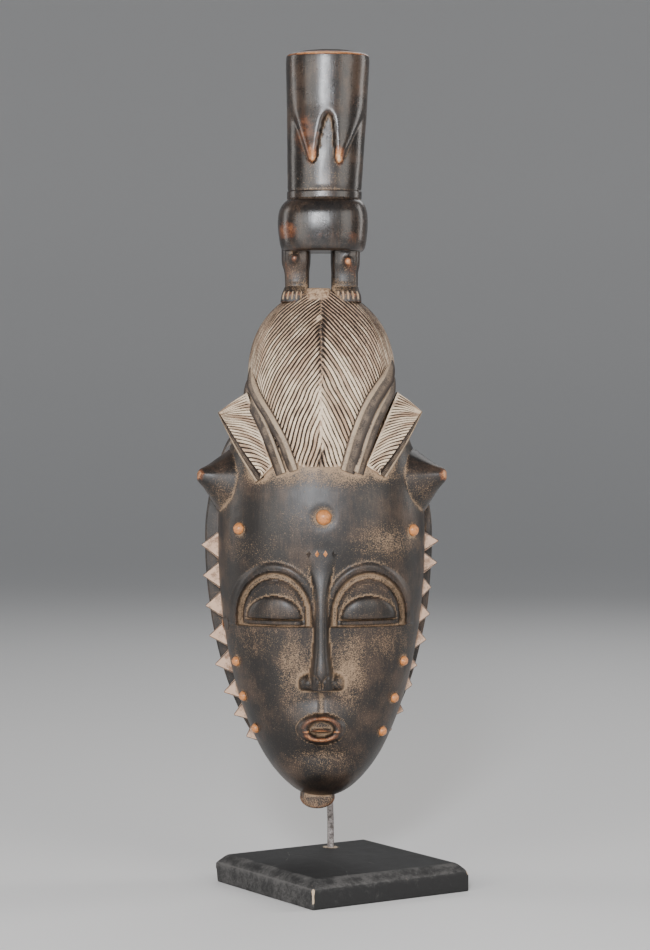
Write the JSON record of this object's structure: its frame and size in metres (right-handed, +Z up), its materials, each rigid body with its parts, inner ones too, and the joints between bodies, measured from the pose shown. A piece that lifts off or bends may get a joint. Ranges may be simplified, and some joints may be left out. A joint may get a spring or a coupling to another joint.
{
  "type": "carved mask",
  "caption": "Carved wooden face mask with a toothed border, cone-shaped side bosses, a tall grooved coiffure and a headless figure on top, held by an iron rod on a square base.",
  "frame": {"origin": "centre of the square base's underside", "axes": "+Z up along the mask's height, -Y the way the face looks, +X to the viewer's right"},
  "size_m": [0.186, 0.175, 0.577],
  "materials": {
    "carved_wood": "dark brown-black handled patina with tan dust in the recesses and bare orange wood on the high points",
    "rod_iron": "mottled grey bare iron",
    "base_wood": "satin black paint, scuffed grey, worn to bare wood at corners"
  },
  "bodies": {
    "root": {"mask": "carved_wood", "stand_rod": "rod_iron", "stand_base": "base_wood"}
  },
  "joints": []
}
